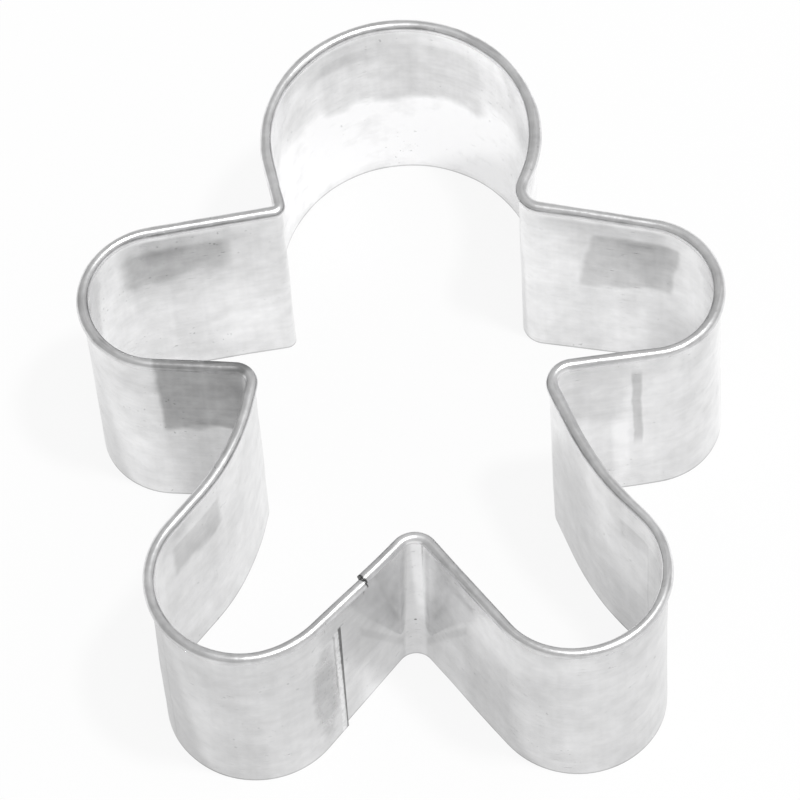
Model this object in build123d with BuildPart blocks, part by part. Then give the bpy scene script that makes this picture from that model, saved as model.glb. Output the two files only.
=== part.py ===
"""Cookie cutter in the outline of a gingerbread figure, made from one strip of tinned steel.

The strip's top edge is rolled outwards into a hollow rim and its lower edge cuts the dough. The strip is
bent round into the figure, its two ends lap on one leg, and three spot welds hold the lap together.

Sizes are in millimetres. The origin is under the middle of the cutter, on the cutting edge. +Z points up to
the rolled rim, +Y to the figure's head and +X across the arms.
"""
import os
from collections import namedtuple
from math import asin, atan2, cos, degrees, hypot, radians, sin, sqrt

from build123d import *

# The sheet, and how high the finished strip stands
sheet_thickness = 0.3
strip_height = 25.0

# The rolled rim, a hollow roll that stands a little further out than the wall
rim_inner_radius = 0.26
rim_entry_radius = 1.7  # the reverse bend that leads from the wall into the roll
rim_entry_angle = 30.0  # how far that bend turns
rim_end_angle = 60.0  # the roll stops this many degrees below the horizontal
skin_step = 30.0  # the roll's outer face is drawn in flats of this many degrees
bore_step = 45.0  # and its inner face in flats of this many

# The figure's outline, on the middle of the sheet, from the head down
head_radius = 12.9
neck_angle = 29.4  # the neck fold lies this many degrees below the middle of the head
neck_bend = 1.5
arm_span = 60.8
shoulder_fall = 1.6  # from the neck fold down to the top of the hand
hand_radius = 7.2
underarm_fall = 1.1  # from the hand down to the armpit fold
torso_width = 28.1
armpit_bend = 1.9
side_height = 20.3  # from the middle of the armpit fold down to the middle of the foot
waist_radius = 27.0
foot_span = 47.5
foot_radius = 8.5
crotch_height = 13.4  # above the soles
crotch_bend = 2.1
blend_run = 0.35  # the short straight that is left between two bends that follow each other closely

# The lap on the inner side of one leg
layer_gap = 0.06
seam_setback = 3.45  # from the end of the foot's bend to the outer end's edge
tab_length = 3.35  # the rim and a tab below it run on past that edge
tab_height = 5.7
butt_gap = 0.15  # between the two ends of the rim
lap_length = 5.8  # how far the inner end reaches back behind the outer end
tongue_clearance = 0.25  # from the top of the inner end to the start of the rim's bend

# The spot welds
weld_names = ("spot_weld_lower", "spot_weld_middle", "spot_weld_upper")
weld_height_shares = (0.2, 0.5, 0.8)  # of the inner end's height
weld_radius = 1.0
weld_penetration_share = 0.55  # of each layer's thickness
weld_edge_distance = 2.2  # from the outer end's edge to the welds
weld_mark_radius = 1.3
weld_mark_floor = 1.0  # radius of the flat floor of the mark that an electrode leaves
weld_mark_depth = 0.05

# Worked out from the sizes above
half_sheet = sheet_thickness / 2
rim_outer_radius = rim_inner_radius + sheet_thickness
rim_middle_radius = rim_inner_radius + half_sheet
rim_lead = rim_entry_radius + rim_middle_radius
wall_top = strip_height - rim_outer_radius - rim_lead * sin(radians(rim_entry_angle))
lap_offset = sheet_thickness + layer_gap
tab_bottom = strip_height - tab_height
tongue_top = wall_top - tongue_clearance


# A bend has a centre and a radius. The radius is negative where the strip turns to the left, which it does
# at each fold that points into the figure, going round clockwise as seen from above.
Bend = namedtuple("Bend", "centre radius")
Run = namedtuple("Run", "start end")


def heading_of(run):
    """Unit vector along a straight run."""
    return (run.end - run.start).normalized()


def outward_of(run):
    """Unit vector out of the figure, square to a straight run."""
    along = heading_of(run)
    return Vector(-along.Y, along.X)


def run_between(bend, next_bend):
    """Straight run that leaves one bend and meets the next one at a tangent."""
    apart = next_bend.centre - bend.centre
    angle = atan2(apart.Y, apart.X) - asin((bend.radius - next_bend.radius) / apart.length)
    outward = Vector(-sin(angle), cos(angle))
    return Run(bend.centre + outward * bend.radius, next_bend.centre + outward * next_bend.radius)


def mirrored(bend):
    """The same bend on the other side of the figure."""
    return Bend(Vector(-bend.centre.X, bend.centre.Y), bend.radius)


def polar(length, angle):
    """Vector of a length at an angle in degrees from +X."""
    return Vector(length * cos(radians(angle)), length * sin(radians(angle)))


def centre_between(near, near_distance, far, far_distance):
    """Point at given distances from two others, to the left of the way from the near one to the far one."""
    apart = far - near
    along = (near_distance**2 - far_distance**2 + apart.length**2) / (2 * apart.length)
    aside = sqrt(near_distance**2 - along**2)
    unit = apart.normalized()
    return near + unit * along + Vector(-unit.Y, unit.X) * aside


def half_outline():
    """Bends of the figure's +X half, from the top of the head round to the crotch.

    Heights are counted from the middle of the head at first, and then from half way down the figure.
    """
    head = Bend(Vector(0, 0), head_radius)

    neck_distance = hypot(blend_run, head_radius + neck_bend)
    neck = Bend(head.centre + polar(neck_distance, -neck_angle), -neck_bend)

    hand_x = arm_span / 2 - hand_radius
    hand_y = neck.centre.Y - neck_bend - shoulder_fall - hand_radius
    hand = Bend(Vector(hand_x, hand_y), hand_radius)

    armpit_x = torso_width / 2 + armpit_bend
    armpit_y = hand_y - hand_radius - underarm_fall - armpit_bend
    armpit = Bend(Vector(armpit_x, armpit_y), -armpit_bend)

    foot = Bend(Vector(foot_span / 2 - foot_radius, armpit_y - side_height), foot_radius)

    waist_centre = centre_between(
        armpit.centre,
        hypot(blend_run, waist_radius - armpit_bend),
        foot.centre,
        hypot(blend_run, waist_radius + foot_radius),
    )
    waist = Bend(waist_centre, -waist_radius)

    soles = foot.centre.Y - foot_radius
    crotch = Bend(Vector(0, soles + crotch_height - crotch_bend), -crotch_bend)

    rise = Vector(0, -(head_radius + soles) / 2)
    return [
        Bend(bend.centre + rise, bend.radius) for bend in (head, neck, hand, armpit, waist, foot, crotch)
    ]


def round_points(centre, radius, start, end, step):
    """Points along a round stretch of the section, from one angle in degrees to another."""
    flats = max(1, round(abs(end - start) / step))
    return [centre + polar(radius, start + (end - start) * flat / flats) for flat in range(flats + 1)]


def strip_section(plane):
    """Section of the strip, with the plane's x pointing out of the figure and its y pointing up."""
    entry_centre = Vector(-rim_entry_radius, wall_top)
    rim_centre = entry_centre + polar(rim_lead, rim_entry_angle)
    roll_start = rim_entry_angle + 180
    skin = round_points(entry_centre, rim_entry_radius - half_sheet, 0, rim_entry_angle, skin_step)
    roll = round_points(rim_centre, rim_outer_radius, roll_start, -rim_end_angle, skin_step)
    bore = round_points(rim_centre, rim_inner_radius, -rim_end_angle, roll_start, bore_step)
    back = round_points(entry_centre, rim_entry_radius + half_sheet, rim_entry_angle, 0, skin_step)
    with BuildSketch(plane) as section:
        with BuildLine():
            Polyline((-half_sheet, 0), *skin, *roll[1:], *bore, *back[1:], (half_sheet, 0), close=True)
        make_face()
    return section.sketch


def part_section(plane, low, high):
    """What the strip's section has between two heights."""
    width = 2 * (rim_lead + rim_outer_radius)
    with BuildSketch(plane) as section:
        add(strip_section(Plane.XY))
        with Locations((0, (low + high) / 2)):
            Rectangle(width, high - low, mode=Mode.INTERSECT)
    return section.sketch


def upright_plane(origin, run):
    """Plane square to a run: x points out of the figure and y points up."""
    return Plane(origin=origin, x_dir=outward_of(run), z_dir=heading_of(run))


# The bends in order, from the outer end round the figure to the inner end
right_side = half_outline()
left_side = [mirrored(bend) for bend in reversed(right_side[1:-1])]
crotch = right_side[-1]
bends = left_side + right_side

# The outer layer's line down the lapped leg, which lies outside the inner layer's by the lap
seam_run = run_between(Bend(crotch.centre, crotch.radius + lap_offset), left_side[0])
seam_heading = heading_of(seam_run)
seam_outward = outward_of(seam_run)
seam_edge = seam_run.end - seam_heading * seam_setback
tab_end = seam_edge - seam_heading * tab_length

# The inner layer's line, beside it
inner_rim_end = tab_end - seam_heading * butt_gap - seam_outward * lap_offset
inner_foot_point = seam_run.end - seam_outward * lap_offset
crotch_leave = crotch.centre + seam_outward * crotch.radius

# The inner end follows the foot's bend where it reaches past the straight part of the leg
reach_round = (lap_length - seam_setback) / (foot_radius - lap_offset)
foot_centre = left_side[0].centre
tongue_tip = foot_centre + (inner_foot_point - foot_centre).rotate(Axis.Z, -degrees(reach_round))

seam_plane = upright_plane(seam_edge, seam_run)
inner_plane = upright_plane(inner_rim_end, seam_run)

# The welds' middles lie between the layers
weld_heights = [tongue_top * share for share in weld_height_shares]
weld_depth = sheet_thickness * weld_penetration_share
weld_length = layer_gap + 2 * weld_depth
stack_thickness = layer_gap + 2 * sheet_thickness


def weld_plane(height):
    """Plane in the middle of a weld, with its normal pointing out of the figure."""
    foot_point = seam_edge + seam_heading * weld_edge_distance - seam_outward * lap_offset / 2
    return Plane(origin=foot_point + Vector(0, 0, height), x_dir=seam_heading, z_dir=seam_outward)


def facing_back(plane):
    """The same plane turned over."""
    return Plane(origin=plane.origin, x_dir=plane.x_dir, z_dir=-plane.z_dir)


with BuildPart() as cutter_strip:
    # The whole strip, with its rim, round the figure
    with BuildLine() as round_line:
        runs = [Run(seam_edge, seam_run.end)]
        runs += [run_between(bend, next_bend) for bend, next_bend in zip(bends, bends[1:])]
        runs.append(Run(crotch_leave, inner_rim_end))
        for run, next_run in zip(runs, runs[1:]):
            Line(run.start, run.end)
            TangentArc(run.end, next_run.start, tangent=heading_of(run))
        Line(runs[-1].start, runs[-1].end)
    sweep(sections=strip_section(seam_plane), path=round_line.line)

    # The outer end's tab, which carries the rim on to the butt joint
    extrude(part_section(seam_plane, tab_bottom, strip_height), amount=-tab_length)

    # The inner end, below the rim and behind the outer end
    with BuildLine() as tongue_line:
        Line(inner_rim_end, inner_foot_point)
        TangentArc(inner_foot_point, tongue_tip, tangent=seam_heading)
    sweep(sections=part_section(inner_plane, 0, tongue_top), path=tongue_line.line)

    # Seats for the welds, and the shallow marks that the electrodes leave
    for height in weld_heights:
        middle = weld_plane(height)
        with Locations(middle):
            Cylinder(weld_radius, weld_length, mode=Mode.SUBTRACT)
        top_of_cone = (Align.CENTER, Align.CENTER, Align.MAX)
        with Locations(middle.offset(stack_thickness / 2), facing_back(middle).offset(stack_thickness / 2)):
            Cone(weld_mark_floor, weld_mark_radius, weld_mark_depth, align=top_of_cone, mode=Mode.SUBTRACT)
cutter_strip.part.label = "cutter_strip"

welds = []
for name, height in zip(weld_names, weld_heights):
    with BuildPart() as spot_weld:
        with Locations(weld_plane(height)):
            Cylinder(weld_radius, weld_length)
    spot_weld.part.label = name
    welds.append(spot_weld.part)

os.makedirs("parts", exist_ok=True)
for piece in [cutter_strip.part] + welds:
    export_step(piece, f"parts/{piece.label}.step")
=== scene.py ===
# %% [markdown]
# # A tin cookie cutter, dressed for its picture
#
# The cutter is one strip of tinned steel, 25 mm high and 0.3 mm thick. Its top edge is rolled into a hollow
# rim, and the strip is bent round pegs into a gingerbread figure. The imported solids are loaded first,
# because they say where everything is. Blender works in metres, and mm() turns millimetres into them.

# %% load the frame
import math
from collections import namedtuple

import bpy
from mathutils import Matrix, Vector


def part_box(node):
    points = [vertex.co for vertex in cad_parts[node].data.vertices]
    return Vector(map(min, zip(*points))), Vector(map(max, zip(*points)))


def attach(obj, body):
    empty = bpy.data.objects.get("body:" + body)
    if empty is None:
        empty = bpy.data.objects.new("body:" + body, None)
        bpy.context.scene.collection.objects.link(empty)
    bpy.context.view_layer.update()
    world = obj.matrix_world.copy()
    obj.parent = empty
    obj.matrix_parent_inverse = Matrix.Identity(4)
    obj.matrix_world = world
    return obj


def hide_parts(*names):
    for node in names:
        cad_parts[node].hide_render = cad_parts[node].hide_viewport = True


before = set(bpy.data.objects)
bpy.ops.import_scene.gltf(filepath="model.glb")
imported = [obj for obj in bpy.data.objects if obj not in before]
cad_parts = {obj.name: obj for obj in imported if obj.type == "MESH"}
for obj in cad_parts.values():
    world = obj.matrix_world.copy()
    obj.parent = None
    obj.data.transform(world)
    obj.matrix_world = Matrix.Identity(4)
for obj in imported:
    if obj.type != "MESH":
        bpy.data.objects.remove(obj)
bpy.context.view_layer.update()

print("nodes", sorted(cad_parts))


def mm(value):
    """Millimetres as metres."""
    return value / 1000


# %% [markdown]
# ## The camera
#
# The photograph was taken from far away with a long lens, looking down at about 59 degrees. The camera is
# turned in three steps: round the upright axis, then down, then a little roll about its own line of sight.

# %% camera
camera_turn = math.radians(3.43)
camera_down = math.radians(59.3)
camera_roll = math.radians(-4.42)

camera_data = bpy.data.cameras.new("photo_camera")
camera_data.sensor_width = 36.0
camera_data.lens = 238.36
camera_data.clip_start = 0.01
camera_data.clip_end = 50.0
camera = bpy.data.objects.new("photo_camera", camera_data)
bpy.context.scene.collection.objects.link(camera)
camera_turned = (
    Matrix.Rotation(camera_turn, 4, "Z")
    @ Matrix.Rotation(math.pi / 2 - camera_down, 4, "X")
    @ Matrix.Rotation(camera_roll, 4, "Z")
)
camera_place = Vector((mm(14.53), mm(-258.86), mm(448.28)))
camera.matrix_world = Matrix.Translation(camera_place) @ camera_turned
bpy.context.scene.camera = camera
print("camera", [round(value, 4) for value in camera_place])

# %% [markdown]
# ## The pegs
#
# A bent strip is easiest to describe as a belt round pegs. A peg has a place and a radius. Its radius is
# negative where it stands outside the figure and folds the strip inwards. Straight runs join the pegs, and
# each of them touches both of its pegs. The sizes are those of the solids.

# %% the figure's sizes
sheet = mm(0.3)
strip_height = mm(25.0)
head_radius = mm(12.9)
neck_angle = math.radians(29.4)
neck_bend = mm(1.5)
arm_span = mm(60.8)
shoulder_fall = mm(1.6)
hand_radius = mm(7.2)
underarm_fall = mm(1.1)
torso_width = mm(28.1)
armpit_bend = mm(1.9)
side_height = mm(20.3)
waist_radius = mm(27.0)
foot_span = mm(47.5)
foot_radius = mm(8.5)
crotch_height = mm(13.4)
crotch_bend = mm(2.1)
blend_run = mm(0.35)

# %% pegs and runs
Peg = namedtuple("Peg", "centre radius")
Run = namedtuple("Run", "start end")


def heading_of(run):
    """Unit vector along a run."""
    return (run.end - run.start).normalized()


def outward_of(run):
    """Unit vector out of the figure, square to a run."""
    along = heading_of(run)
    return Vector((-along.y, along.x))


def run_between(peg, next_peg):
    """The straight run that leaves one peg and meets the next."""
    apart = next_peg.centre - peg.centre
    angle = math.atan2(apart.y, apart.x) - math.asin((peg.radius - next_peg.radius) / apart.length)
    outward = Vector((-math.sin(angle), math.cos(angle)))
    return Run(peg.centre + outward * peg.radius, next_peg.centre + outward * next_peg.radius)


def centre_between(near, near_distance, far, far_distance):
    """Point at given distances from two others, to the left of the way between them."""
    apart = far - near
    along = (near_distance**2 - far_distance**2 + apart.length_squared) / (2 * apart.length)
    aside = math.sqrt(near_distance**2 - along**2)
    unit = apart.normalized()
    return near + unit * along + Vector((-unit.y, unit.x)) * aside


# %% the drawn figure
def drawn_pegs():
    """Pegs of the +X half as drawn, from the head down to the crotch."""
    head = Peg(Vector((0, 0)), head_radius)
    neck_distance = math.hypot(blend_run, head_radius + neck_bend)
    neck_place = Vector((math.cos(neck_angle), -math.sin(neck_angle))) * neck_distance
    neck = Peg(neck_place, -neck_bend)
    hand_y = neck_place.y - neck_bend - shoulder_fall - hand_radius
    hand = Peg(Vector((arm_span / 2 - hand_radius, hand_y)), hand_radius)
    armpit_y = hand_y - hand_radius - underarm_fall - armpit_bend
    armpit = Peg(Vector((torso_width / 2 + armpit_bend, armpit_y)), -armpit_bend)
    foot = Peg(Vector((foot_span / 2 - foot_radius, armpit_y - side_height)), foot_radius)
    waist_centre = centre_between(
        armpit.centre,
        math.hypot(blend_run, waist_radius - armpit_bend),
        foot.centre,
        math.hypot(blend_run, waist_radius + foot_radius),
    )
    waist = Peg(waist_centre, -waist_radius)
    soles = foot.centre.y - foot_radius
    crotch = Peg(Vector((0, soles + crotch_height - crotch_bend)), -crotch_bend)
    rise = Vector((0, -(head_radius + soles) / 2))
    pegs = {"head": head, "neck": neck, "hand": hand, "armpit": armpit, "waist": waist, "foot": foot}
    pegs["crotch"] = crotch
    return {name: Peg(peg.centre + rise, peg.radius) for name, peg in pegs.items()}


drawn = drawn_pegs()
print("middle of the head", round(drawn["head"].centre.y * 1000, 2), "mm up")

# %% [markdown]
# ## Bent by hand
#
# The drawing is the same on both sides, but no real strip is. In the photograph the -X neck is a sharper
# fold and the +X neck a rounder one, one foot stands a little higher, and so on. Most pegs below are moved
# by a few tenths of a millimetre, and the -X waist, whose bend is wide and shallow, by more. The numbers
# are the peg's side, its move to the right, its move up, and the change of its radius. The walls aren't
# quite upright either. The last two numbers say how far the rim has moved off the cutting edge there, to
# the right and up.

# %% the real pegs
bent_by_hand = (
    ("foot", -1, 0.11, 0.27, 0.05, 0.15, 0.0),
    ("waist", -1, 1.65, -0.90, 2.20, 0.2, -0.15),
    ("armpit", -1, -0.16, 0.55, 0.13, 0.1, -0.1),
    ("hand", -1, 0.0, -0.12, 0.0, 0.05, 0.0),
    ("neck", -1, -0.04, -0.52, 0.70, 0.0, 0.0),
    ("head", 1, -0.33, -0.06, -0.09, 0.05, 0.0),
    ("neck", 1, 0.65, 0.53, -0.65, 0.0, 0.0),
    ("hand", 1, -0.35, -0.32, -0.10, -0.5, -0.5),
    ("armpit", 1, -0.08, -0.49, -0.27, -0.2, 0.0),
    ("waist", 1, 0.22, 0.02, -0.27, 0.0, 0.0),
    ("foot", 1, 0.06, -0.06, -0.15, 0.0, 0.0),
    ("crotch", 1, -0.05, 0.18, 0.16, 0.74, -1.03),
)
pegs = []
leans = []
for name, side, aside, higher, wider, top_aside, top_higher in bent_by_hand:
    peg = drawn[name]
    centre = Vector((side * peg.centre.x + mm(aside), peg.centre.y + mm(higher)))
    pegs.append(Peg(centre, peg.radius + mm(wider)))
    leans.append(Vector((mm(top_aside), mm(top_higher))))
crotch = pegs[-1]
print("pegs", len(pegs))

# %% [markdown]
# ## Where the strip begins and ends
#
# The ends lap on the inner side of the -X leg. The outer end carries a tab with the rim on it, up to the
# place where the rim's two ends meet. The tab reaches 4.5 mm down, as in the photograph, and the solid one
# 5.7 mm. The inner end runs on below the rim, behind the outer one. The lap has to stand where the solid
# spot welds are, so its distance from them is printed.

# %% the lap
layer_gap = mm(0.06)
lap_offset = sheet + layer_gap
seam_setback = mm(2.95)
tab_length = mm(3.35)
tab_reach = mm(4.5)
tab_bottom = strip_height - tab_reach
butt_gap = mm(0.15)
lap_length = mm(5.8)

seam_run = run_between(Peg(crotch.centre, crotch.radius + lap_offset), pegs[0])
seam_heading = heading_of(seam_run)
seam_outward = outward_of(seam_run)
seam_edge = seam_run.end - seam_heading * seam_setback
tab_end = seam_edge - seam_heading * tab_length
inner_rim_end = tab_end - seam_heading * butt_gap - seam_outward * lap_offset
inner_foot_point = seam_run.end - seam_outward * lap_offset
crotch_leave = crotch.centre + seam_outward * crotch.radius
foot_centre = pegs[0].centre
foot_bend = pegs[0].radius
reach_round = (lap_length - seam_setback) / (foot_bend - lap_offset)
weld_low, weld_high = (Vector(corner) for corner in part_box("spot_weld_middle"))
weld_place = (weld_low + weld_high) / 2
from_edge = weld_place.xy - seam_edge
print("welds", round(from_edge.dot(seam_heading) * 1000, 2), "mm from the edge and",
      round(-from_edge.dot(seam_outward) * 1000, 3), "mm inside the outer layer's middle")

# %% [markdown]
# ## The section of the rim
#
# The roll starts as a circle that stands across the strip. Its lower outer part is taken out, because the
# roll doesn't close. The other end of the circle is spun round the small reverse bend that leads to the
# wall, and then the wall is drawn down in rows. The rows leave room for the waves and dents of thin sheet.

# %% select by place
close = mm(0.01)


def select_points(piece, wanted):
    """Selects, in edit mode, the points that a test on their place accepts."""
    bpy.ops.object.mode_set(mode="OBJECT")
    mesh = piece.data
    for polygon in mesh.polygons:
        polygon.select = False
    for vertex in mesh.vertices:
        vertex.select = bool(wanted(vertex.co))
    for edge in mesh.edges:
        edge.select = all(mesh.vertices[index].select for index in edge.vertices)
    count = sum(vertex.select for vertex in mesh.vertices)
    bpy.ops.object.mode_set(mode="EDIT")
    return count


# %% the roll
rim_middle_radius = mm(0.41)
rim_entry_radius = mm(1.7)
rim_entry_angle = math.radians(30)
entry_steps = 3  # in the small reverse bend below the roll
roll_points = 24  # in a whole circle
roll_from = -150  # degrees, where the reverse bend meets the roll
roll_to = -60  # degrees, where the curl stops
tongue_clearance = mm(0.25)
rim_lead = rim_entry_radius + rim_middle_radius
rim_height = strip_height - rim_middle_radius - sheet / 2
rim_aside = rim_lead * math.cos(rim_entry_angle) - rim_entry_radius
wall_top = rim_height - rim_lead * math.sin(rim_entry_angle)
tongue_top = wall_top - tongue_clearance


def at_seam(outwards, height):
    """Point of the section at the outer end's edge."""
    place = seam_edge + seam_outward * outwards
    return Vector((place.x, place.y, height))


roll_middle = at_seam(rim_aside, rim_height)
bpy.ops.object.select_all(action="DESELECT")
bpy.ops.mesh.primitive_circle_add(
    vertices=roll_points,
    radius=rim_middle_radius,
    location=roll_middle,
    rotation=(math.pi / 2, 0, math.atan2(seam_outward.y, seam_outward.x)),
)
strip = bpy.context.object
strip.name = "tinned_strip"
bpy.ops.object.transform_apply(location=True, rotation=True, scale=True)


def roll_angle(point):
    """Angle of a point of the section round the roll's middle, in degrees from straight outwards."""
    offset = point - roll_middle
    return math.degrees(math.atan2(offset.z, offset.xy.dot(seam_outward)))


select_points(strip, lambda point: roll_from + 1 < roll_angle(point) < roll_to - 1)
bpy.ops.mesh.delete(type="VERT")
chosen = select_points(strip, lambda point: abs(roll_angle(point) - roll_from) < 1)
print("roll", len(strip.data.vertices), "points, end points chosen", chosen)


# %% the reverse bend and the wall
def draw_on(offset, step_length):
    """Extrudes what is selected in even steps of about the given length, and returns their number."""
    steps = max(1, round(offset.length / step_length))
    bpy.ops.mesh.extrude_repeat(steps=steps, offset=offset / steps)
    return steps


bpy.ops.mesh.spin(
    steps=entry_steps,
    angle=rim_entry_angle,
    center=at_seam(-rim_entry_radius, wall_top),
    axis=seam_heading.to_3d(),
)
row = mm(0.75)
for top, bottom in ((wall_top, tongue_top), (tongue_top, tab_bottom), (tab_bottom, 0)):
    draw_on(Vector((0, 0, bottom - top)), row)
bpy.ops.object.mode_set(mode="OBJECT")
section = [vertex.co.copy() for vertex in strip.data.vertices]
print("section", len(section), "points, lowest", round(min(point.z for point in section) * 1000, 4), "mm")

# %% [markdown]
# ## Round the pegs
#
# The section is extruded along each straight run and spun round each peg, so each face comes from the same
# moves that the real bending tool makes. The tab is drawn backwards from the outer end first. Blender's
# spin turns clockwise for a positive angle here, which is the way round the figure. The way travelled so
# far is noted for each ring of points, because scratches and waves follow the strip.

# %% tab
column = mm(0.6)
sharpest_turn = math.radians(7)  # from one ring of a bend to the next
rings = [(0.0, len(section))]


def note_rings(start, length, steps, points):
    """Notes how far along the strip each new ring of points lies, and returns the way travelled."""
    rings.extend((start + length * (step + 1) / steps, points) for step in range(steps))
    return start + length


tab_points = select_points(strip, lambda point: point.z > tab_bottom - close)
tab_steps = draw_on((tab_end - seam_edge).to_3d(), column)
note_rings(0, -tab_length, tab_steps, tab_points)

# %% the whole way round
select_points(strip, lambda point: abs((point.xy - seam_edge).dot(seam_heading)) < close)
runs = [Run(seam_edge, seam_run.end)]
runs += [run_between(peg, next_peg) for peg, next_peg in zip(pegs, pegs[1:])]
runs.append(Run(crotch_leave, inner_rim_end))
travelled = 0.0
bends = []
for peg, run, next_run in zip(pegs, runs, runs[1:]):
    ahead = run.end - run.start
    travelled = note_rings(travelled, ahead.length, draw_on(ahead.to_3d(), column), len(section))
    side = math.copysign(1, peg.radius)
    turn = side * heading_of(run).angle_signed(heading_of(next_run)) % (2 * math.pi)
    steps = max(math.ceil(turn / sharpest_turn), round(turn * abs(peg.radius) / column))
    bpy.ops.mesh.spin(steps=steps, angle=side * turn, center=peg.centre.to_3d(), axis=(0, 0, 1))
    bends.append(travelled + turn * abs(peg.radius) / 2)
    travelled = note_rings(travelled, turn * abs(peg.radius), steps, len(section))
ahead = runs[-1].end - runs[-1].start
travelled = note_rings(travelled, ahead.length, draw_on(ahead.to_3d(), column), len(section))
bpy.ops.object.mode_set(mode="OBJECT")
ends = [vertex.co.xy for vertex in strip.data.vertices if vertex.select and vertex.co.z < close]
missed = (ends[0] - inner_rim_end).length * 1000
print("strip", round(travelled * 1000, 2), "mm long, misses its end by", round(missed, 4), "mm")
print("middles of the bends", [round(place * 1000, 1) for place in bends])


# %% the inner end, below the rim
def in_tongue(point):
    """True for points of the last ring that lie below the rim."""
    beside = point.xy - inner_rim_end
    return abs(beside.dot(seam_heading)) < close and beside.length < mm(1) and point.z < tongue_top + close


rim_length = travelled
reach_steps = 5
tongue_points = select_points(strip, in_tongue)
ahead = inner_foot_point - inner_rim_end
travelled = note_rings(travelled, ahead.length, draw_on(ahead.to_3d(), column), tongue_points)
bpy.ops.mesh.spin(steps=reach_steps, angle=reach_round, center=foot_centre.to_3d(), axis=(0, 0, 1))
travelled = note_rings(travelled, reach_round * (foot_bend - lap_offset), reach_steps, tongue_points)
bpy.ops.object.mode_set(mode="OBJECT")
print("with its inner end", round(travelled * 1000, 2), "mm,", len(strip.data.vertices), "points")

# %% [markdown]
# ## A map of the strip
#
# Each point gets two numbers: how far along the strip it lies, and how far up the section, round the roll
# too. They become the piece's UV map, so a rolling line can run along the strip round every bend, as it did
# on the flat sheet.


# %% along and up
def up_section(point):
    """Length of sheet from the cutting edge up to a point of the first section."""
    if point.z < wall_top + close:
        return point.z
    if abs((point - roll_middle).length - rim_middle_radius) < close:
        # The extra degree keeps the first point at 0, and not at a whole turn
        round_roll = math.radians((roll_from + 361 - roll_angle(point)) % 360 - 1)
        return wall_top + rim_entry_radius * rim_entry_angle + rim_middle_radius * round_roll
    aside = (point - at_seam(0, 0)).xy.dot(seam_outward)
    return wall_top + rim_entry_radius * math.atan2(point.z - wall_top, aside + rim_entry_radius)


ups = [up_section(point) for point in section]
tab_ups = [up for up, point in zip(ups, section) if point.z > tab_bottom - close]
tongue_ups = [up for up, point in zip(ups, section) if point.z < tongue_top + close]
ups_of = {len(section): ups, tab_points: tab_ups, tongue_points: tongue_ups}
along, up = [0.0] * len(section), list(ups)
for place, points in rings[1:]:
    along += [place] * points
    up += ups_of[points]
on_wall = [(vertex.co.z, value) for vertex, value in zip(strip.data.vertices, up) if value < tab_bottom]
wrong = max(abs(point_height - value) for point_height, value in on_wall)
print("points", len(along), "of", len(strip.data.vertices))
print("heights are off by", round(wrong * 1000, 4), "mm")

# %% write the map
strip_map = strip.data.uv_layers.new(name="strip_map")
for loop in strip.data.loops:
    strip_map.data[loop.index].uv = (along[loop.vertex_index], up[loop.vertex_index])
print("the map reaches", round(max(up) * 1000, 2), "mm up the section")

# %% [markdown]
# ## Walls that lean
#
# Each bend's lean was set in the table above. Between two bends it changes smoothly. It dies out on the
# foot, just past the lap, and both layers of the lap lean alike.

# %% lean
upright_from = mm(7.0)
lap_shift = rim_length + tab_length + butt_gap
no_lean = Vector((0, 0))
stations = [(upright_from, no_lean)] + list(zip(bends, leans)) + [(upright_from + lap_shift, no_lean)]


def lean_at(place):
    """How far the rim stands off the cutting edge at a place along the strip."""
    if place < upright_from:
        place += lap_shift
    for (start, start_lean), (end, end_lean) in zip(stations, stations[1:]):
        if place <= end:
            share = (place - start) / (end - start)
            return start_lean.lerp(end_lean, share * share * (3 - 2 * share))
    return no_lean


for vertex, place in zip(strip.data.vertices, along):
    vertex.co += (lean_at(place) * (vertex.co.z / strip_height)).to_3d()
print("lean at the crotch", [round(value * 1000, 2) for value in lean_at(bends[-1])], "mm")

# %% [markdown]
# ## Creases beside the crotch
#
# The strip was folded hard at the crotch, and on each side a shallow crease rises from the fold's foot,
# like the arms of a V. The points near that line are pushed in a little, less and less with their distance
# from it.

# %% creases
crease_reach = mm(0.8)
crease_depth = mm(0.07)
crease_start = mm(1.2)
crease_end = mm(7.5)
crease_foot = mm(0.8)
crease_slope = 1.9
strip.data.update()
for vertex, place in zip(strip.data.vertices, along):
    from_fold = abs(place - bends[-1])
    if crease_start < from_fold < crease_end and place < rim_length:
        off_line = (vertex.co.z - crease_foot - crease_slope * from_fold) / crease_reach
        vertex.co -= vertex.normal * (crease_depth * math.exp(-off_line * off_line))
print("creases", round(crease_depth * 1000, 2), "mm deep")

# %% [markdown]
# ## Thin sheet is never quite flat
#
# Tin plate is so thin that each bend leaves soft waves beside it, and a mirror-like wall shows them. A
# Displace modifier with a soft cloud texture gives them. A vertex group keeps it off the lap, where the
# layers lie close, and each point gets its height back, so that both edges of the strip stay level.

# %% waves
strip.select_set(True)
bpy.context.view_layer.objects.active = strip
free_sheet = strip.vertex_groups.new(name="free_sheet")
fade_start = mm(6)
fade_length = mm(8)
for index, place in enumerate(along):
    from_lap = min(place, rim_length - place) - fade_start
    share = max(0.0, min(1.0, from_lap / fade_length))
    free_sheet.add([index], share * share * (3 - 2 * share), "REPLACE")
clouds = bpy.data.textures.new("sheet_waves", "CLOUDS")
clouds.noise_scale = mm(9)
clouds.noise_depth = 1
waves = strip.modifiers.new("waves", "DISPLACE")
waves.texture = clouds
waves.texture_coords = "LOCAL"
waves.direction = "NORMAL"
waves.mid_level = 0.5
waves.strength = mm(0.2)
waves.vertex_group = "free_sheet"
before = [vertex.co.copy() for vertex in strip.data.vertices]
bpy.ops.object.modifier_apply(modifier="waves")
for vertex, place in zip(strip.data.vertices, before):
    vertex.co.z = place.z
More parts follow.
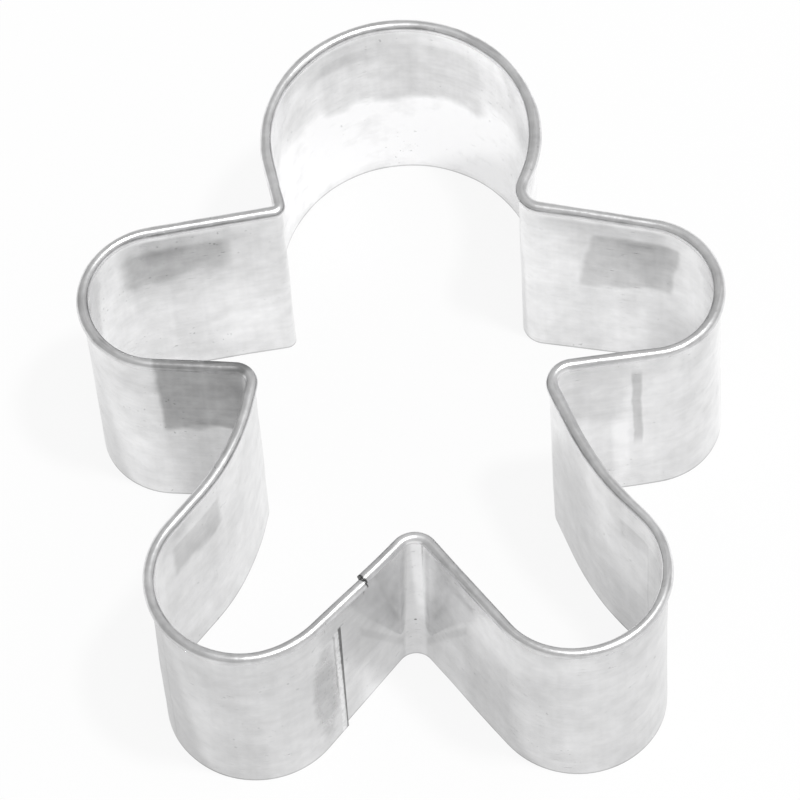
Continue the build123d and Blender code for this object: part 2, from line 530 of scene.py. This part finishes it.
moves = [(vertex.co - place).length for vertex, place in zip(strip.data.vertices, before)]
print("waves move points by", round(max(moves) * 1000, 3), "mm at most")

# %% [markdown]
# ## Sheet thickness and weld marks
#
# Solidify gives the sheet its 0.3 mm, half to each side. The electrodes of the spot welder then leave three
# shallow round marks on each face of the lap. The faces there are too large for such small marks, so they
# are subdivided first, and the points inside each mark are pressed in.

# %% sheet thickness
merge_distance = mm(0.002)
bpy.ops.object.mode_set(mode="EDIT")
bpy.ops.mesh.select_all(action="SELECT")
bpy.ops.mesh.remove_doubles(threshold=merge_distance)
bpy.ops.mesh.normals_make_consistent(inside=False)
bpy.ops.object.mode_set(mode="OBJECT")
thickness = strip.modifiers.new("sheet", "SOLIDIFY")
thickness.thickness = sheet
thickness.offset = 0
thickness.use_even_offset = True
bpy.ops.object.modifier_apply(modifier="sheet")
print("thick strip", len(strip.data.polygons), "faces")

# %% fine faces for the marks
weld_height_shares = (0.2, 0.5, 0.8)
weld_heights = [tongue_top * share for share in weld_height_shares]
mark_radius = mm(1.3)
mark_depth = mm(0.05)
mark_slope = 2.2  # how soon the mark reaches its depth, from its edge inwards
mark_margin = mm(0.9)
mark_cuts = 3
face_slack = mm(0.04)
smooth_below = math.radians(40)
stack = 2 * sheet + layer_gap
lap_middle = weld_place.xy.dot(seam_outward)


def upright(point):
    """Where a point of the lap would be if the wall didn't lean."""
    from_seam = (point.xy - seam_edge).dot(seam_heading)
    return point.xy - lean_at(from_seam) * (point.z / strip_height)


def from_weld(point, height):
    """Distance of a point from a weld's axis."""
    return math.hypot((upright(point) - weld_place.xy).dot(seam_heading), point.z - height)


def on_stack_face(point):
    """-1 or 1 on the inner or outer face of the lap, and 0 elsewhere."""
    beside = upright(point).dot(seam_outward) - lap_middle
    return math.copysign(1, beside) if abs(abs(beside) - stack / 2) < face_slack else 0


def beside_mark(point):
    """True on the faces of the lap, close to a weld's mark."""
    near = min(from_weld(point, height) for height in weld_heights) < mark_radius + mark_margin
    return bool(near and on_stack_face(point))


beside = select_points(strip, beside_mark)
bpy.ops.mesh.subdivide(number_cuts=mark_cuts)
bpy.ops.object.mode_set(mode="OBJECT")
print("points beside the marks", beside, "and faces now", len(strip.data.polygons))
pressed = 0
for vertex in strip.data.vertices:
    face = on_stack_face(vertex.co)
    reach = min(from_weld(vertex.co, height) for height in weld_heights) / mark_radius
    if face and reach < 1:
        depth = mark_depth * min(1, (1 - reach) * mark_slope)
        vertex.co -= (seam_outward * face * depth).to_3d()
        pressed += 1
bpy.ops.object.shade_smooth_by_angle(angle=smooth_below)
print("marks press in", pressed, "points")
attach(strip, "root")
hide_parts("cutter_strip")

# %% [markdown]
# ## The weld nuggets
#
# Inside the lap each weld has melted the two layers into one nugget. It is a short round pin with soft
# edges, and it stays just under both faces. A nugget is made once for each weld, where the leaning wall has
# it.

# %% nuggets
nugget_radius = mm(0.95)
nugget_inset = mm(0.125)  # below each face of the lap
nugget_length = stack - 2 * nugget_inset
nugget_edge = mm(0.12)
nuggets = []
for name, weld_height in zip(("lower", "middle", "upper"), weld_heights):
    from_seam = (weld_place.xy - seam_edge).dot(seam_heading)
    nugget_place = (weld_place.xy + lean_at(from_seam) * (weld_height / strip_height)).to_3d()
    nugget_place.z = weld_height
    bpy.ops.object.select_all(action="DESELECT")
    bpy.ops.mesh.primitive_cylinder_add(
        vertices=32,
        radius=nugget_radius,
        depth=nugget_length,
        location=nugget_place,
        rotation=(math.pi / 2, 0, math.atan2(seam_outward.y, seam_outward.x) + math.pi / 2),
    )
    nugget = bpy.context.object
    nugget.name = f"weld_nugget_{name}"
    bpy.ops.object.transform_apply(location=True, rotation=True, scale=True)
    bpy.ops.object.mode_set(mode="EDIT")
    bpy.ops.mesh.bevel(offset=nugget_edge, segments=3, affect="EDGES")
    bpy.ops.object.mode_set(mode="OBJECT")
    bpy.ops.object.shade_smooth_by_angle(angle=smooth_below)
    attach(nugget, "root")
    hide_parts(f"spot_weld_{name}")
    nuggets.append(nugget)
print("nuggets", [nugget.name for nugget in nuggets])

# %% [markdown]
# ## The floor
#
# The cutter stands on a white table top. The floor lies a hair below the cutting edge.

# %% floor
floor_width = 8
floor_drop = mm(0.02)
bpy.ops.object.select_all(action="DESELECT")
bpy.ops.mesh.primitive_plane_add(size=floor_width, location=(0, 0, -floor_drop))
floor = bpy.context.object
floor.name = "floor"
print("floor", round(floor_drop * 1000, 3), "mm below the cutting edge")

# %% [markdown]
# ## Maths with sockets
#
# A shader's sum is easier to read as a line of Python than as a row of nodes. The small class below wraps a
# socket, and each operator adds its Math node. All other nodes come from one method.


# %% shader helper
class Value:
    """A socket whose maths is written as Python maths."""

    def __init__(self, paint, socket):
        self.paint = paint
        self.socket = socket

    def maths(self, operation, *values):
        """Adds a Math node."""
        return self.paint.node("ShaderNodeMath", {"operation": operation}, dict(enumerate(values)))

    def __add__(self, other):
        return self.maths("ADD", self, other)

    def __radd__(self, other):
        return self.maths("ADD", other, self)

    def __sub__(self, other):
        return self.maths("SUBTRACT", self, other)

    def __rsub__(self, other):
        return self.maths("SUBTRACT", other, self)

    def __mul__(self, other):
        return self.maths("MULTIPLY", self, other)

    def __rmul__(self, other):
        return self.maths("MULTIPLY", other, self)

    def __truediv__(self, other):
        return self.maths("DIVIDE", self, other)

    def __abs__(self):
        return self.maths("ABSOLUTE", self)


class Paint:
    """The node tree of one material or world."""

    def __init__(self, owner):
        owner.use_nodes = True
        self.tree = owner.node_tree
        self.tree.nodes.clear()

    def node(self, kind, settings=None, inputs=None, output=0):
        """Adds a node. Its settings go in first, and then the values or links of its sockets."""
        made = self.tree.nodes.new(kind)
        for name, setting in (settings or {}).items():
            setattr(made, name, setting)
        for name, value in (inputs or {}).items():
            if isinstance(value, Value):
                self.tree.links.new(value.socket, made.inputs[name])
            else:
                made.inputs[name].default_value = value
        return Value(self, made.outputs[output]) if len(made.outputs) else made


def rise(value, low, high):
    """0 below low and 1 above high, with a smooth step between them."""
    inputs = {"Value": value, "From Min": low, "From Max": high}
    return value.paint.node("ShaderNodeMapRange", {"interpolation_type": "SMOOTHSTEP"}, inputs)


def band(value, middle, half_width, softness):
    """1 within half a width of the middle, falling smoothly to 0 over the softness."""
    return 1 - rise(abs(value - middle), half_width, half_width + softness)


# %% [markdown]
# ## Floor paint
#
# The photograph's background is pure white, while the metal mirrors a table that is only lit white. So the
# floor glows where the camera sees it, and less where a reflection does, and it keeps its plain shade for
# the rays that light the scene. In the reflections the glow is stronger at the head's end, where the
# photograph's walls are lighter.

# %% floor paint
floor_paint = bpy.data.materials.new("pale_floor")
paint = Paint(floor_paint)
camera_ray = paint.node("ShaderNodeLightPath", output="Is Camera Ray")
glossy_ray = paint.node("ShaderNodeLightPath", output="Is Glossy Ray")
clear_ray = paint.node("ShaderNodeLightPath", output="Is Transmission Ray")
seen_share = 0.9
mirrored_share = 0.6
white_share = camera_ray * seen_share + (glossy_ray + clear_ray) * mirrored_share
diffuse = paint.node("ShaderNodeBsdfDiffuse", {}, {"Color": (0.85, 0.85, 0.85, 1)})
floor_place = paint.node("ShaderNodeTexCoord", output="Object")
to_head = paint.node("ShaderNodeSeparateXYZ", {}, {0: floor_place}, output="Y") * 1000
feet_end, head_end = -45.0, 25.0
feet_glow, more_at_head = 0.76, 0.42
mirrored_glow = feet_glow + rise(to_head, feet_end, head_end) * more_at_head
glow = camera_ray + (1 - camera_ray) * mirrored_glow
white = paint.node("ShaderNodeEmission", {}, {"Color": (1, 1, 1, 1), "Strength": glow})
mixed = paint.node("ShaderNodeMixShader", {}, {0: white_share, 1: diffuse, 2: white})
paint.node("ShaderNodeOutputMaterial", {}, {"Surface": mixed})
floor.data.materials.append(floor_paint)
print("floor paint", len(paint.tree.nodes), "nodes")

# %% [markdown]
# ## Tin plate
#
# Tin plate is a soft mirror. Three things break its shine: clouds in the tin coat, fine lines that the
# rolling mill left along the strip, and scuffs. The rim is duller, because the rolling tool rubbed it. Each
# of these is a pattern between 0 and 1, which reads either the place on the object or the map of the strip.
# Lengths are in millimetres there. The lap has a haze where the welds were heated. At its edge, a dark line
# is painted shadow where the layers part, and the burr beside it is raised and also painted lighter, a
# painted highlight.

# %% where things are on the strip
tin = bpy.data.materials.new("tin_plate")
paint = Paint(tin)
place = paint.node("ShaderNodeTexCoord", output="Object")
strip_place = paint.node("ShaderNodeUVMap", {"uv_map": "strip_map"})
along_strip = paint.node("ShaderNodeSeparateXYZ", {}, {0: strip_place}, output="X") * 1000
up_strip = paint.node("ShaderNodeSeparateXYZ", {}, {0: strip_place}, output="Y") * 1000
height = paint.node("ShaderNodeSeparateXYZ", {}, {0: place}, output="Z") * 1000


def dot_with(direction):
    """How far a place lies in a direction, in millimetres."""
    inputs = {0: place, 1: direction}
    return paint.node("ShaderNodeVectorMath", {"operation": "DOT_PRODUCT"}, inputs, output="Value") * 1000


def streaks(length, width, detail=2.0, seed=0.0):
    """Noise drawn out along the strip, with the streaks' length and width in millimetres."""
    inputs = {"X": along_strip / length, "Y": up_strip / width, "Z": seed}
    grain = paint.node("ShaderNodeCombineXYZ", {}, inputs)
    return paint.node("ShaderNodeTexNoise", {}, {"Vector": grain, "Scale": 1.0, "Detail": detail})


def mottle(size, detail=2.0):
    """Even noise with patches of a size in millimetres."""
    return paint.node("ShaderNodeTexNoise", {}, {"Vector": place, "Scale": 1000 / size, "Detail": detail})


beside_weld = dot_with(seam_heading.to_3d()) - weld_place.xy.dot(seam_heading) * 1000
off_lap = dot_with(seam_outward.to_3d()) - lap_middle * 1000
on_rim = rise(up_strip, 24.1, 24.4)
print("middle of the lap", round(lap_middle * 1000, 2), "mm out of the origin")

# %% the tin's own pattern, and painted shade at the cutting edge
tin_clouds = mottle(size=8.0, detail=3.0)
fine_clouds = mottle(size=1.6, detail=3.0)
rolling_lines = streaks(length=14.0, width=0.4)
panels = rise(streaks(length=5.0, width=70.0, detail=1.0, seed=9.0), 0.44, 0.56)
upright_lines = streaks(length=0.5, width=16.0, detail=1.0, seed=5.0)
rim_lines = streaks(length=2.5, width=0.16, detail=1.0, seed=7.0)
rim_grime = rise(streaks(length=5.0, width=0.5, seed=11.0), 0.56, 0.70) * 0.22 + (mottle(0.7) - 0.5) * 0.35
scuffs = rise(streaks(length=1.4, width=0.3, seed=3.0), 0.64, 0.74) * rise(mottle(6.0), 0.5, 0.62)
specks = rise(mottle(0.5, detail=1.0), 0.70, 0.76) * rise(mottle(7.0), 0.5, 0.6)
# painted shade along the cutting edge, where the wall stands on the floor
cut_edge_shade = 1 - rise(up_strip, 0.1, 0.3)
print("tin's own pattern", len(paint.tree.nodes), "nodes")

# %% the lap
on_lap = band(off_lap, 0.0, 0.8, 0.2) * band(beside_weld, 0.0, 5.0, 1.0)
haze_across = (beside_weld - 0.6) / 1.6
haze_up = (height - 10.5) / 8.5
weld_oval = haze_across * haze_across + haze_up * haze_up
weld_haze = (1 - rise(weld_oval + (mottle(1.5) - 0.5) * 1.2, 0.4, 1.5)) * on_lap
burnt_dots = rise(mottle(0.35, detail=1.0), 0.6, 0.66) * weld_haze
# painted shadow: a dark line at the outer layer's edge, where the gap between the layers is in shade; it
# widens upwards and stops at the tab
seam_shadow_width = (0.09 + height * 0.012) * (0.6 + mottle(0.9) * 0.8)
tab_height = tab_bottom * 1000
seam_gap_shadow = (1 - rise(abs(along_strip) - seam_shadow_width, 0.0, 0.12)) * on_lap
seam_gap_shadow = seam_gap_shadow * (1 - rise(height, tab_height - 0.3, tab_height + 0.3))
beside_burr = along_strip + (mottle(0.8) - 0.5) * 0.4
below_tab = (1 - rise(height, tab_height - 0.8, tab_height - 0.1)) * on_lap
# the burr is raised in the relief, and the tin on it is also painted lighter, a painted highlight
burr_and_painted_glint = band(beside_burr, 0.6, 0.12, 0.15) * rise(mottle(0.5), 0.4, 0.55) * below_tab
burr_shade = band(beside_burr, 1.0, 0.03, 0.12) * rise(height, 6.0, 10.0) * below_tab
# grime and painted shade at both ends of the rim, where the butt joint's gap is dark
rim_end_grime_and_shade = band(along_strip, -tab_length * 1000, 0.05, 0.2)
rim_end_grime_and_shade = rim_end_grime_and_shade + band(along_strip, rim_length * 1000, 0.05, 0.2)
rim_end_grime_and_shade = rim_end_grime_and_shade * rise(up_strip, 22.0, 23.5)
print("with the lap's marks", len(paint.tree.nodes), "nodes")

# %% [markdown]
# ## Painted shade patches and marks
#
# The photograph's walls also have soft grey patches with rather straight edges, where they mirror floor
# that lies in shadow. These mirrored shadows are painted into the tin's colour as patches of painted shade,
# which the function below makes. A patch is placed by its way along the strip and its height, so that it
# bends with the sheet. The painted highlights, a streak, two faint upright lines and a small pit are placed
# in the same manner.

# %% painted shade patches
head_middle = bends[5] * 1000
hand_middle = bends[7] * 1000
fold_middle = bends[-1] * 1000
from_fold = abs(along_strip - fold_middle)
ragged = (mottle(5.0) - 0.5) * 4.0


def shade_patch(place, reach, low, high, softness, slant=0.0):
    """A patch of painted shade from one height to another, within a reach of a place along the strip, all
    in millimetres.
    """
    beside = band(along_strip + ragged * 0.3 - (up_strip - low) * slant, place, reach, softness)
    from_low = rise(up_strip + ragged, low, low + softness * 1.5)
    return beside * from_low * (1 - rise(up_strip, high, high + softness))


# Each patch is painted shade: a shadow on the floor as the wall mirrors it, painted into the tin's colour.
head_shade_patch = shade_patch(head_middle - 1.0, 8.0, 11.5, 21.2, 1.2)
left_shoulder_shade_patch = shade_patch(80.5, 4.4, 15.0, 20.8, 1.5) + shade_patch(82.0, 5.4, 12.0, 21.5, 2.2) * 0.5
left_underarm_shade_patch = shade_patch(52.8, 4.3, 12.5, 26.0, 0.6)
left_leg_shade_patch = shade_patch(33.0, 3.0, 15.5, 20.5, 0.9)
right_shoulder_shade_patch = shade_patch(157.6, 4.1, 12.2, 21.0, 0.7, 0.14)
right_underarm_shade_patch = shade_patch(188.0, 3.2, 13.0, 22.5, 1.2)
right_leg_shade_patch = shade_patch(208.0, 1.6, 17.5, 20.3, 0.5)
painted_shade = head_shade_patch + left_shoulder_shade_patch * 2.2 + left_underarm_shade_patch * 3.7 + left_leg_shade_patch * 2.6
painted_shade = painted_shade + right_shoulder_shade_patch * 2.3 + right_underarm_shade_patch * 0.9 + right_leg_shade_patch * 1.3
print("with the stains", len(paint.tree.nodes), "nodes")

# %% painted highlights and small marks
# painted highlights: lighter tin low on the head's wall and beside the crotch's fold, where the walls
# mirror brighter floor
head_painted_highlight = band(along_strip, head_middle, 15.0, 4.0) * band(up_strip, 7.5, 5.0, 4.0) * (1 - head_shade_patch)
fold_painted_highlight = band(along_strip, fold_middle, 0.9, 0.5)
fold_painted_highlight = fold_painted_highlight + band(from_fold, 5.0, 2.0, 1.5) * (1 - rise(up_strip, 7.0, 10.0)) * 0.8
arm_mark = hand_middle + 12.05
arm_streak = band(along_strip + (mottle(3.0) - 0.5) * 0.5, arm_mark, 0.3, 0.3)
arm_streak = arm_streak * band(up_strip, 15.0, 5.0, 2.5)
# a painted highlight beside the arm's streak
arm_painted_highlight = band(along_strip, arm_mark + 1.7, 0.5, 0.6) * band(up_strip, 8.0, 4.0, 3.0)
# painted shade along the two creases beside the crotch's fold
crease_shade = band(up_strip - from_fold * crease_slope, crease_foot * 1000, 0.3, 1.0)
crease_shade = crease_shade * band(from_fold, 4.3, 2.8, 0.6)
wavering = along_strip + (mottle(4.0) - 0.5) * 0.4
foot_line = band(wavering, 19.8, 0.05, 0.12) * (1 - rise(up_strip, 20.0, 22.0))
leg_line = band(wavering, 209.8, 0.06, 0.12) * band(up_strip, 11.0, 6.0, 2.0)
pit_across = along_strip - fold_middle
pit_up = up_strip - 7.4
pit = 1 - rise(pit_across * pit_across + pit_up * pit_up, 0.01, 0.03)
print("with the small marks", len(paint.tree.nodes), "nodes")

# %% [markdown]
# ## The tin's tone
#
# The table below lists how much each pattern darkens the tin. A negative share brightens it, and a pattern
# that swings both ways has its middle taken off first. Their sum chooses between bright and dull tin. Not
# all of it is the tin's own colour: the table also holds painted shade at the cutting edge, in the seam's
# gap, at the rim's ends, beside the burr, in the grey patches and in the creases, and painted highlights on
# the burr and at the bright places.

# %% tin paint
clean_tone = 0.25
darkening = (
    (tin_clouds - 0.5, 0.6),
    (fine_clouds - 0.5, 0.36),
    (rolling_lines - 0.5, 0.10),
    (upright_lines - 0.5, 0.08),
    (panels - 0.5, 0.06),
    (on_rim * (rim_lines - 0.5), 0.35),
    (on_rim * rim_grime, 1.0),
    (scuffs, 0.22),
    (specks, 0.3),
    # painted shade at the cutting edge
    (cut_edge_shade, 0.4),
    (weld_haze, 0.26),
    (burnt_dots, 0.12),
    # painted shadow in the seam's gap, grime and painted shade at the rim's ends, a painted highlight on
    # the burr and painted shade beside it
    (seam_gap_shadow, 1.1),
    (rim_end_grime_and_shade, 1.2),
    (burr_and_painted_glint, -0.45),
    (burr_shade, 0.3),
    # painted shade: the grey patches
    (painted_shade, 0.13),
    (arm_streak, 0.36),
    # painted shade in the creases
    (crease_shade, 0.16),
    (foot_line + leg_line, 0.12),
    (pit, 1.0),
    # painted highlights
    (head_painted_highlight, -0.26),
    (fold_painted_highlight, -0.2),
    (arm_painted_highlight, -0.14),
)
dark = clean_tone
for pattern, share in darkening:
    dark = dark + pattern * share
bright_tin = (0.93, 0.93, 0.935, 1)
dull_tin = (0.12, 0.12, 0.12, 1)
full_dark = 0.78
tones = {0: dark * full_dark, 6: bright_tin, 7: dull_tin}
tin_colour = paint.node("ShaderNodeMix", {"data_type": "RGBA"}, tones, output=2)
roughness = 0.10 + tin_clouds * 0.08 + scuffs * 0.15 + weld_haze * 0.15 + on_rim * 0.16
rim_relief = (rim_lines - 0.5 + (mottle(0.5) - 0.5) * 0.8) * on_rim
relief = (rolling_lines - 0.5) * 0.15 + rim_relief * 1.6 - scuffs * 0.5 + burr_and_painted_glint * 1.5
relief_height = mm(0.012)
bump = paint.node("ShaderNodeBump", {}, {"Height": relief, "Distance": relief_height, "Strength": 1.0})
metal = paint.node("ShaderNodeBsdfPrincipled", {}, {
    "Base Color": tin_colour, "Metallic": 1.0, "Roughness": roughness, "Normal": bump,
})
paint.node("ShaderNodeOutputMaterial", {}, {"Surface": metal})
strip.data.materials.clear()
strip.data.materials.append(tin)
print("tin paint", len(paint.tree.nodes), "nodes")

# %% [markdown]
# ## The spot welds
#
# Each weld is a nugget inside the two layers, so nothing of it is seen from outside. It is dull grey steel,
# from which the tin has burnt off. The solids get the same paints, although the dressed pieces stand in
# their place.

# %% weld paint
weld_paint = bpy.data.materials.new("weld_spot")
paint = Paint(weld_paint)
place = paint.node("ShaderNodeTexCoord", output="Object")
grain = mottle(0.4)
burnt = {0: grain, 6: (0.42, 0.42, 0.43, 1), 7: (0.58, 0.58, 0.58, 1)}
burnt_colour = paint.node("ShaderNodeMix", {"data_type": "RGBA"}, burnt, output=2)
metal = paint.node("ShaderNodeBsdfPrincipled", {}, {
    "Base Color": burnt_colour, "Metallic": 1.0, "Roughness": 0.35 + grain * 0.2,
})
paint.node("ShaderNodeOutputMaterial", {}, {"Surface": metal})
for nugget in nuggets:
    nugget.data.materials.clear()
    nugget.data.materials.append(weld_paint)
for name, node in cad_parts.items():
    node.data.materials.clear()
    node.data.materials.append(weld_paint if name.startswith("spot_weld") else tin)
print("weld paint", len(paint.tree.nodes), "nodes")

# %% [markdown]
# ## Studio
#
# One small lamp high on the right throws the shadows that the walls mirror from the floor. The rest is a
# pale room, brightest overhead and a little brighter to the right.

# %% world
world = bpy.data.worlds.new("studio")
bpy.context.scene.world = world
paint = Paint(world)
direction = paint.node("ShaderNodeTexCoord", output="Generated")
brightest = Vector((0.35, -0.2, 0.91)).normalized()
to_glow = {0: direction, 1: brightest}
nearness = paint.node("ShaderNodeVectorMath", {"operation": "DOT_PRODUCT"}, to_glow, output="Value")
east = paint.node("ShaderNodeSeparateXYZ", {}, {0: direction}, output="X")
room_level, more_overhead, more_to_the_right = 0.56, 0.6, 0.08
strength = room_level + rise(nearness, 0.85, 0.97) * more_overhead + east * more_to_the_right
background = paint.node("ShaderNodeBackground", {}, {"Color": (1, 1, 1, 1), "Strength": strength})
paint.node("ShaderNodeOutputWorld", {}, {"Surface": background})
print("world", len(paint.tree.nodes), "nodes")

# %% lamp
lamp_data = bpy.data.lights.new("softbox", "AREA")
lamp_data.shape = "DISK"
lamp_data.size = 0.09
lamp_data.energy = 4.4
lamp = bpy.data.objects.new("softbox", lamp_data)
lamp.location = Vector((0.28, -0.13, 0.95)) * 0.95
bpy.context.scene.collection.objects.link(lamp)
lamp.rotation_euler = lamp.location.to_track_quat("Z", "Y").to_euler()
print("lamp", [round(value, 3) for value in lamp.location], "m from the origin")

# %% [markdown]
# ## Finish
#
# The colours are shown with Blender's Standard view transform.

# %% finish
bpy.context.scene.view_settings.view_transform = "Standard"
